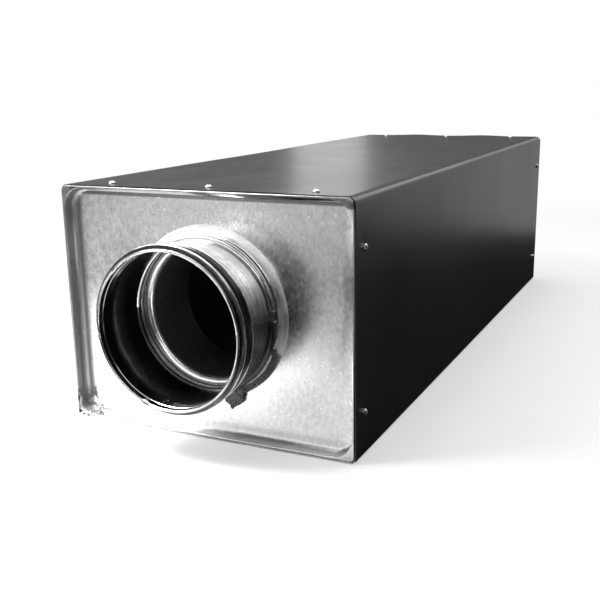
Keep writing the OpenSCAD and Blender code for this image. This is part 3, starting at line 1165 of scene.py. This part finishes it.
def back_ridge():
    """Points over the second ridge: a slope up from the seat, a tight crest and a steep back."""
    crest = bend(spigot_mm + back_ridge_h - crest_r, back_ridge_at, crest_r, crest_start, crest_end)
    heel = [(spigot_mm + heel_h, back_end - heel_l), (spigot_mm, back_end)]
    return [(spigot_mm, seat_end)] + crest + heel


def front_hollow():
    """Points of the inner skin under the first ridge, which ends in a rounded step."""
    crest = bend(spigot_mm + ridge_h - ridge_r, ridge_at + ridge_r, ridge_r - skin_t, -90, 90)
    step_at = seat_at - skin_t
    inner = spigot_mm - skin_t
    start = [(hem_out - skin_t, ridge_at + skin_t)]
    return start + crest + [(inner + up, step_at + back) for up, back in step_points]


def back_hollow():
    """Points of the inner skin under the second ridge, which is hardly hollow."""
    inner = spigot_mm - skin_t
    return [
        (inner - hollow_front, seat_end),
        (inner, seat_end + hollow_front),
        (inner, back_end - hollow_front),
        (inner - hollow_back, back_end),
    ]


def bead(skin_r, inset, beaded):
    """Points of the stop bead in one skin, or only its two ends."""
    radius = ((bead_w / 2) ** 2 + bead_h ** 2) / (2 * bead_h)
    centre = spigot_mm + bead_h - radius
    half = math.degrees(math.acos((skin_r - centre) / (radius - inset)))
    points = bend(centre, bead_at, radius - inset, -half, half)
    return points if beaded else [points[0], points[-1]]


def spigot_profile(beaded):
    """The closed section of the rolled sheet."""
    outside = spigot_mm
    inside = spigot_mm - skin_t
    fillet_at = collar_mm - skin_t - fillet_r
    outer = [(hem_out - 2 * hem_r, hem_l)] + bend(hem_out - hem_r, hem_r, hem_r, 180, 360)
    outer += front_ridge() + back_ridge() + bead(outside, 0, beaded)
    outer += bend(outside + fillet_r, fillet_at, fillet_r, 180, 90) + [(flange_mm, collar_mm - skin_t)]
    inner = [(hem_out - 2 * hem_r + skin_t, hem_l)]
    inner += bend(hem_out - hem_r, hem_r, hem_r - skin_t, 180, 360)
    inner += front_hollow() + back_hollow() + bead(inside, skin_t, beaded)
    inner += bend(outside + fillet_r, fillet_at, fillet_r + skin_t, 180, 90) + [(flange_mm, collar_mm)]
    return outer + inner[::-1] + outer[:1]


print("spigot profile of", len(spigot_profile(True)), "points")

# %% [markdown]
# Where the two ends of the strip meet, the rolls could not form the bead, so it stops and starts
# again. The beaded profile is therefore spun over most of the way round, a plain one over the short
# rest, and the two are welded. The open ends of the bead are then filled.

# %% Spin the spigots
round_steps = 270
gap_steps = 7

gap_turn = gap_end - gap_start
bead_turn = 360 - gap_end + gap_start
plain_sector = spin_sheet("plain_sector", spigot_profile(False), gap_start, gap_turn, gap_steps)
beaded_sector = spin_sheet("beaded_sector", spigot_profile(True), gap_end, bead_turn, round_steps)
front_spigot = join([plain_sector, beaded_sector], "front_spigot")
edit_all(front_spigot)
bpy.ops.mesh.remove_doubles(threshold=weld)
bpy.ops.mesh.fill_holes(sides=0)
bpy.ops.object.mode_set(mode="OBJECT")
settle(front_spigot)
rear_spigot = turned_copy(front_spigot, "rear_spigot")
dress(rear_spigot, spigot_zinc, "rear_collar")

# %% [markdown]
# The front edge has had a hard life. The hem is knocked in at five spots, and at the top the end of
# the hem shows as a crack across it. The crack is three cuts close together, with the middle one
# pushed in.

# %% Knocks and the crack in the front hem
hem_knocks = (
    (-110.5, 1.5, 1.0, 6.0),
    (-172.0, 1.0, 0.6, 4.0),
    (134.0, 0.8, 0.4, 4.0),
    (4.25, 0.7, 1.0, 2.2),
    (82.0, 0.6, 0.5, 2.0),
)
crack_angle = 84.5
crack_half = 0.3
crack_depth = 0.8
hem_struck = 0.3

for angle, inward, back, reach in hem_knocks:
    place = on_ring(hem_out - hem_r, hem_struck, angle) / MM
    knock(front_spigot, place, Vector((0, back, 0)) - outward(angle) * inward, reach)
bpy.ops.object.mode_set(mode="EDIT")
for angle in (crack_angle - crack_half, crack_angle, crack_angle + crack_half):
    turn = math.radians(angle)
    bpy.ops.mesh.select_all(action="SELECT")
    bpy.ops.mesh.bisect(plane_co=(0, 0, spigot_z), plane_no=(-math.sin(turn), 0, math.cos(turn)))
bpy.ops.object.mode_set(mode="OBJECT")
pick(front_spigot, lambda co: (
    co.y < edge_y + ridge_at * MM
    and abs(math.degrees(math.atan2(co.z - spigot_z, co.x)) - crack_angle) < crack_half / 2
))
shrink = 1 - crack_depth / spigot_mm
bpy.ops.transform.resize(value=(shrink, 1, shrink), center_override=(0, 0, spigot_z))
bpy.ops.object.mode_set(mode="OBJECT")
shade(front_spigot)
dress(front_spigot, spigot_zinc, "front_collar")

# %% [markdown]
# ## The seals
# The rubber seal is a flat band with two lips that lean back, so that the duct slides on easily and
# holds. It is spun like the spigot, with round lips.

# %% Seals
seal_start = 8.7
seal_end = 18.5
seal_foot = 79.1
seal_top = 80.3
seal_lip = 82.0
seal_steps = 180
lip_pitch = (seal_end - seal_start) / 2
lip_slope = 0.3
lip_crest = 0.62
lip_round = ((-0.15, -0.6), (0, 0), (-0.2, 0.45))
lip_heel_h = 0.1
lip_heel_l = 0.9


def lip(start):
    """Points over one lip: a slow slope up, a round crest and a steep back."""
    crest = start + lip_crest * lip_pitch
    slope = (seal_top + lip_slope * (seal_lip - seal_top), start + lip_slope * lip_pitch)
    rounded = [(seal_lip + up, crest + back) for up, back in lip_round]
    return [(seal_top, start), slope] + rounded + [(seal_top + lip_heel_h, crest + lip_heel_l)]


seal_profile = [(seal_foot, seal_start)] + lip(seal_start) + lip(seal_start + lip_pitch)
seal_profile += [(seal_top, seal_end), (seal_foot, seal_end), (seal_foot, seal_start)]
front_seal = spin_sheet("front_seal_ring", seal_profile, 0, 360, seal_steps)
rear_seal = turned_copy(front_seal, "rear_seal_ring")
dress(front_seal, seal_black, "front_seal")
dress(rear_seal, seal_black, "rear_seal")

# %% [markdown]
# ## The loose sealing strip
# A ribbed strip of dark rubber lies on the flange at the lower right. Two lengths of it overlap. The
# upper end is pressed in, so that it tapers off, and the lower end has come away as a ragged tab. The
# lengths are short spins with a start and a turn in degrees, the ribs are one wide, low bar that a
# spin repeats, and the tab is an outline that is filled, thickened and roughened.

# %% Sealing strip
first_length = ((84.0, 79.1), (90.4, 79.2), (91.0, 79.7), (91.0, 80.6), (84.0, 80.6), (84.0, 79.1))
second_length = ((83.8, 78.0), (88.8, 78.1), (89.3, 78.6), (89.3, 79.0), (83.8, 79.0), (83.8, 78.0))
strip_lengths = (
    ("sealing_strip", first_length, -50.4, 28.0, 28),
    ("strip_second_length", second_length, -66.0, 22.5, 24),
)
strip_ribs = ((-49.8, 24.8, 79.0), (-65.4, 21.4, 77.9))
rib_turn = 2.0
rib_size = (6.4, 1.2, 1.1)
rib_bevel = 0.15
rib_mm = 87.0
tab_outline = (
    (39.4, 56.8), (39.8, 47.9), (38.7, 46.3), (38.5, 42.3), (35.3, 38.9), (31.0, 36.9), (27.9, 33.8),
    (25.1, 37.4), (19.4, 39.5), (17.5, 48.8), (28.7, 52.1), (39.4, 56.8),
)
tab_y = -438.6
tab_t = 1.4
tab_cuts = 2
tab_random = 0.8
tab_even = 0.6
tab_seed = 7
tab_curl_at = (28, tab_y - tab_t, 34)
tab_curl = (0, -2.5, 0)
tab_curl_reach = 8
taper_angle = -22.4
taper_edge = (91.0, 79.7)
taper_in = 6.5
taper_reach = 18


def ribs(start, turn, back):
    """Bars across the strip, one every so many degrees."""
    bpy.ops.mesh.primitive_cube_add(size=1)
    row = bpy.context.object
    edit_all(row)
    bpy.ops.transform.resize(value=Vector(rib_size) * MM)
    bpy.ops.mesh.bevel(offset=rib_bevel * MM, segments=2)
    bpy.ops.mesh.select_all(action="SELECT")
    bpy.ops.transform.translate(value=on_ring(rib_mm, back, 0))
    bpy.ops.transform.rotate(value=math.radians(start), orient_axis="Y", center_override=(0, 0, spigot_z))
    bpy.ops.mesh.spin(
        dupli=True, steps=int(turn / rib_turn), angle=math.radians(turn),
        center=(0, 0, spigot_z), axis=(0, 1, 0),
    )
    bpy.ops.object.mode_set(mode="OBJECT")
    return row


strip_parts = [spin_sheet(*length) for length in strip_lengths]
strip_parts += [ribs(*row) for row in strip_ribs]
deselect_all()
draw_line([Vector((x, tab_y, z)) * MM for x, z in tab_outline])
bpy.ops.mesh.select_all(action="SELECT")
bpy.ops.mesh.remove_doubles(threshold=weld)
bpy.ops.mesh.edge_face_add()
bpy.ops.mesh.extrude_region_move(TRANSFORM_OT_translate={"value": (0, -tab_t * MM, 0)})
bpy.ops.mesh.select_all(action="SELECT")
bpy.ops.mesh.quads_convert_to_tris()
bpy.ops.mesh.subdivide(number_cuts=tab_cuts)
bpy.ops.transform.vertex_random(offset=tab_random * MM, uniform=tab_even, seed=tab_seed)
bpy.ops.object.mode_set(mode="OBJECT")
tab = bpy.context.object
knock(tab, tab_curl_at, tab_curl, tab_curl_reach)
strip_parts.append(tab)
taper_at = on_ring(*taper_edge, taper_angle) / MM
knock(strip_parts[0], taper_at, outward(taper_angle) * -taper_in, taper_reach)
strip = join(strip_parts, "sealing_strip")
edit_all(strip)
bpy.ops.mesh.fill_holes(sides=0)
bpy.ops.mesh.normals_make_consistent(inside=False)
bpy.ops.object.mode_set(mode="OBJECT")
shade(strip)
dress(strip, strip_grey)

# %% [markdown]
# ## The throat liners
# The sleeve that leads the air through the lining has a round mouth, which catches the light as one
# bright ring deep inside the spigot. It is spun with a fine bend at the mouth and a turned lip at the
# far end.

# %% Throat liners
throat_mm = 70.0
liner_t = 0.8
mouth_r = 6.0
mouth_edge = 78.2
rim_back = (rim_y - edge_y) / MM
mouth_face = collar_mm - liner_t
liner_l = 87.8
liner_end = rim_back + liner_l
liner_steps = 200
lip_mm = 73.8
lip_bend = ((0, -1.0), (0.3, -0.3), (1.0, 0))
mouth_middle = (throat_mm + mouth_r, mouth_face + mouth_r)

liner_outer = [(mouth_edge, mouth_face)] + bend(*mouth_middle, mouth_r, 270, 180)
liner_outer += [(throat_mm + out, liner_end + back) for out, back in lip_bend]
liner_outer += [(lip_mm, liner_end), (lip_mm, liner_end - liner_t)]
liner_outer += [(throat_mm + liner_t, liner_end - liner_t)]
liner_back = bend(*mouth_middle, mouth_r - liner_t, 180, 270)
liner_profile = liner_outer + liner_back + [(mouth_edge, collar_mm), (mouth_edge, mouth_face)]
front_liner = spin_sheet("front_throat", liner_profile, 0, 360, liner_steps)
rear_liner = turned_copy(front_liner, "rear_throat")
dress(front_liner, sleeve_zinc, "front_throat_liner")
dress(rear_liner, sleeve_zinc, "rear_throat_liner")

# %% [markdown]
# ## The lining
# Slabs of mineral wool with a black fleece face fill the box. They are soft, so their faces are
# never flat: each slab is sliced into a grid and its vertices are moved at random by a millimetre.
# It is first made a little smaller, so that it stays clear of the dented sheets.

# %% Lining slabs
slab_sides = ("front", "rear", "top", "bottom", "left", "right")
slab_grid = 20
slab_random = 0.9
slab_clear = 1.2
slab_smooth = 0.5
slab_sharp = math.radians(60)

for count, side in enumerate(slab_sides):
    node = side + "_absorber"
    low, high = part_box(node)
    slab = merged_copy(node, node + "_wool")
    pitch = slab_grid * MM
    for axis in range(3):
        cut_grid(slab, axis, steps(low[axis] + pitch / 2, high[axis] - pitch / 2, pitch))
    shrink = [1 - 2 * slab_clear * MM / length for length in high - low]
    edit_all(slab)
    bpy.ops.transform.resize(value=shrink, center_override=(low + high) / 2)
    bpy.ops.transform.vertex_random(offset=slab_random * MM, uniform=1.0, seed=count)
    bpy.ops.mesh.vertices_smooth(factor=slab_smooth)
    bpy.ops.object.mode_set(mode="OBJECT")
    shade(slab, slab_sharp)
    dress(slab, fleece, node)

# %% [markdown]
# ## The screws
# Pan head screws hold the cover. No fitter stops at the same angle twice, so each head is turned
# about its own axis, and a small bevel takes the sharpness off its edges.

# %% Screws
screw_sets = {
    "front_top_screws": ("Z", [(x, -screw_y, cover_top) for x in top_screws_x]),
    "rear_top_screws": ("Z", [(x, screw_y, cover_top) for x in top_screws_x]),
    "front_left_screws": ("X", [(-cover_side, -screw_y, z) for z in side_screws_z]),
    "front_right_screws": ("X", [(cover_side, -screw_y, z) for z in side_screws_z]),
    "rear_left_screws": ("X", [(-cover_side, screw_y, z) for z in side_screws_z]),
    "rear_right_screws": ("X", [(cover_side, screw_y, z) for z in side_screws_z]),
}
screw_turns = (17, 52, 71, 33, 8, 64, 25)
screw_near = 16
screw_bevel = 0.12

turn_count = 0
for node, (axis, places) in screw_sets.items():
    screws = merged_copy(node, node + "_driven")
    for place in places:
        centre = Vector(place) * MM
        pick(screws, lambda co: (co - centre).length < screw_near * MM)
        turn = math.radians(screw_turns[turn_count % len(screw_turns)])
        bpy.ops.transform.rotate(value=turn, orient_axis=axis, center_override=centre)
        bpy.ops.object.mode_set(mode="OBJECT")
        turn_count += 1
    softer = screws.modifiers.new("softer_edges", "BEVEL")
    softer.width = screw_bevel * MM
    softer.segments = 2
    softer.limit_method = "ANGLE"
    bpy.ops.object.modifier_apply(modifier=softer.name)
    shade(screws)
    dress(screws, screw_zinc, node)

# %% [markdown]
# ## Small marks
# Two clinch marks show inside the spigot, under the seat of the seal, as oval rings.

# %% Clinch marks
mark_angles = (-100.7, -91.2)
mark_back = 17.6
mark_mm = 77.6
mark_ring = 2.3
mark_wire = 0.4
mark_oval = (1, 1.35, 0.6)

marks = []
for angle in mark_angles:
    bpy.ops.mesh.primitive_torus_add(
        major_radius=mark_ring * MM, minor_radius=mark_wire * MM, major_segments=36, minor_segments=10,
    )
    marks.append(bpy.context.object)
    edit_all(marks[-1])
    bpy.ops.transform.resize(value=mark_oval)
    bpy.ops.transform.rotate(value=math.radians(angle + 90), orient_axis="Y", center_override=(0, 0, 0))
    bpy.ops.transform.translate(value=on_ring(mark_mm, mark_back, angle))
    bpy.ops.object.mode_set(mode="OBJECT")
clinch_marks = join(marks, "clinch_marks")
settle(clinch_marks)
dress(clinch_marks, spigot_zinc)

# %% [markdown]
# Where the stop bead breaks off, its two cut ends catch the light. Each is a short bright pin across
# the end of the bead.

# %% Ends of the bead
burr_r = 0.75
burr_l = 4.4
burr_bevel = 0.2
burr_turn = 0.4
burr_below = 1.2
burr_before = 0.6

burrs = []
for angle in (gap_start + burr_turn, gap_end - burr_turn):
    bpy.ops.mesh.primitive_cylinder_add(vertices=12, radius=burr_r * MM, depth=burr_l * MM)
    burrs.append(bpy.context.object)
    edit_all(burrs[-1])
    bpy.ops.transform.rotate(value=math.radians(90), orient_axis="X", center_override=(0, 0, 0))
    bpy.ops.transform.translate(
        value=on_ring(spigot_mm + bead_h - burr_below, bead_at - burr_before, angle),
    )
    bpy.ops.mesh.bevel(offset=burr_bevel * MM, segments=2)
    bpy.ops.object.mode_set(mode="OBJECT")
bead_ends = join(burrs, "bead_ends")
settle(bead_ends)
dress(bead_ends, screw_zinc)

# %% [markdown]
# A scratch runs over the upper right of the panel: its raised edge is a thin bright thread of metal.

# %% Scratch
scratch_line = ((146.0, 247.5), (149.5, 243.8), (153.0, 239.5))
scratch_r = 0.3
scratch_flat = (1, 0.5, 1)

scratches = []
for (x0, z0), (x1, z1) in zip(scratch_line, scratch_line[1:]):
    length = math.hypot(x1 - x0, z1 - z0)
    lean = math.atan2(x1 - x0, z1 - z0)
    bpy.ops.mesh.primitive_cylinder_add(vertices=10, radius=scratch_r * MM, depth=length * MM)
    scratches.append(bpy.context.object)
    edit_all(scratches[-1])
    bpy.ops.transform.rotate(value=lean, orient_axis="Y", center_override=(0, 0, 0))
    bpy.ops.transform.resize(value=scratch_flat)
    bpy.ops.transform.translate(value=Vector(((x0 + x1) / 2, field_y / MM, (z0 + z1) / 2)) * MM)
    bpy.ops.object.mode_set(mode="OBJECT")
scratch = join(scratches, "panel_scratch")
settle(scratch)
dress(scratch, screw_zinc)
